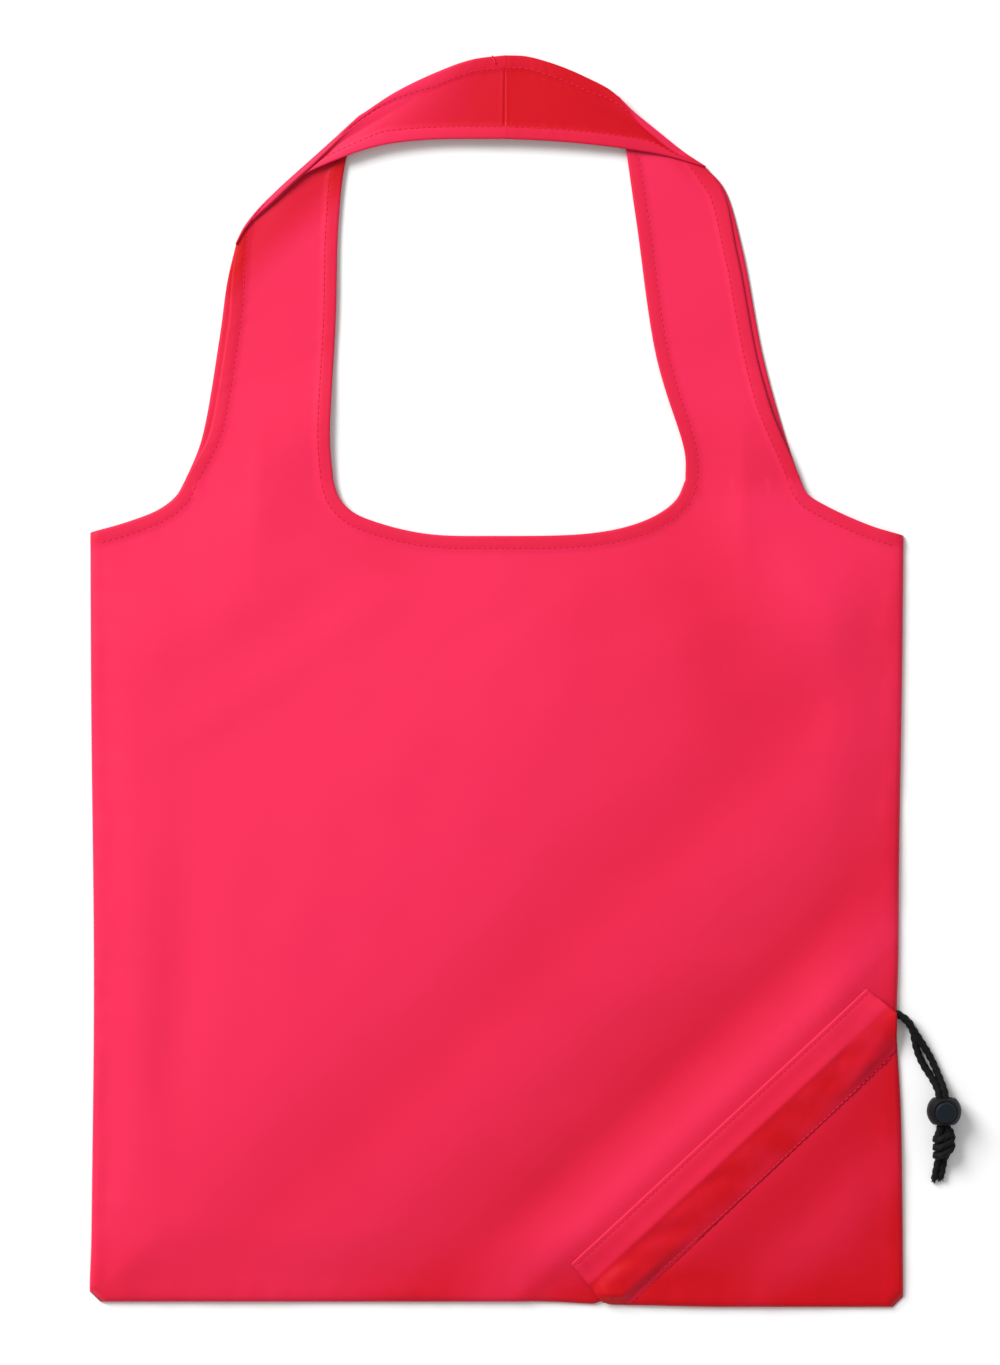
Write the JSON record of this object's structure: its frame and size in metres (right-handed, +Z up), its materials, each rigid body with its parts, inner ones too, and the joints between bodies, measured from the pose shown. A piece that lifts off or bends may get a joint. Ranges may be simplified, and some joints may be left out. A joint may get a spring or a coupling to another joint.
{
  "type": "foldable tote bag",
  "caption": "Flat, foldable cloth tote bag with integral shoulder handles and a drawcord casing across one lower corner, closed by a cord lock.",
  "frame": {"origin": "centre of the lying bag's outline, on the surface that it lies on (the free cord and what is on it left out)", "axes": "+X to the right, +Y from the bottom seam to the handles, +Z up, out of the front panel"},
  "size_m": [0.4279, 0.6149, 0.0156],
  "materials": {
    "cloth": "coral red plain-weave polyester with a soft sheen",
    "thread": "polyester sewing thread in the cloth's colour",
    "cord": "black braided cord",
    "lock_plastic": "black moulded plastic, fine satin",
    "spring_steel": "plain steel wire"
  },
  "bodies": {
    "bag": {"front_panel": "cloth", "back_panel": "cloth", "left_side_seam": "cloth", "right_side_seam": "cloth", "bottom_seam": "cloth", "front_channel": "cloth", "back_channel": "cloth", "drawcord_hidden_loop": "cord", "back_neckline_thread": "thread", "front_neckline_thread": "thread", "back_armhole_thread": "thread", "front_armhole_thread": "thread", "side_seam_thread": "thread", "bottom_seam_thread": "thread", "casing_thread": "thread"},
    "handles": {"back_handle_left": "cloth", "back_handle_right": "cloth", "front_handle_left": "cloth", "front_handle_right": "cloth", "back_handle_seam": "cloth", "front_handle_seam": "cloth", "handle_thread": "thread"},
    "cord_tail": {"drawcord_tail_a": "cord", "drawcord_tail_b": "cord", "drawcord_knot": "cord", "drawcord_ends": "cord"},
    "cord_lock": {"cord_lock_body": "lock_plastic", "cord_lock_spring": "spring_steel"},
    "lock_button": {"cord_lock_button": "lock_plastic"}
  },
  "joints": [
    {"name": "handles_fold", "type": "hinge", "parent": "bag", "child": "handles", "pos_m": [0, 0.0984, 0.008], "axis": [1, 0, 0], "range_deg": [0, 175]},
    {"name": "drawcord_swing", "type": "hinge", "parent": "bag", "child": "cord_tail", "pos_m": [0.1975, -0.1644, 0.002], "axis": [0, 0, 1], "range_deg": [-4, 110], "deforming": ["drawcord_tail_a", "drawcord_tail_b"]},
    {"name": "cord_lock_slide", "type": "slide", "parent": "cord_tail", "child": "cord_lock", "axis": [-0.4149, 0.9099, 0], "range_m": [0, 0.016]},
    {"name": "button_press", "type": "slide", "parent": "cord_lock", "child": "lock_button", "axis": [0, 0, -1], "range_m": [0, 0.0024], "stiffness_N_per_m": 800, "springref_m": -0.001, "deforming": ["cord_lock_spring"]}
  ]
}
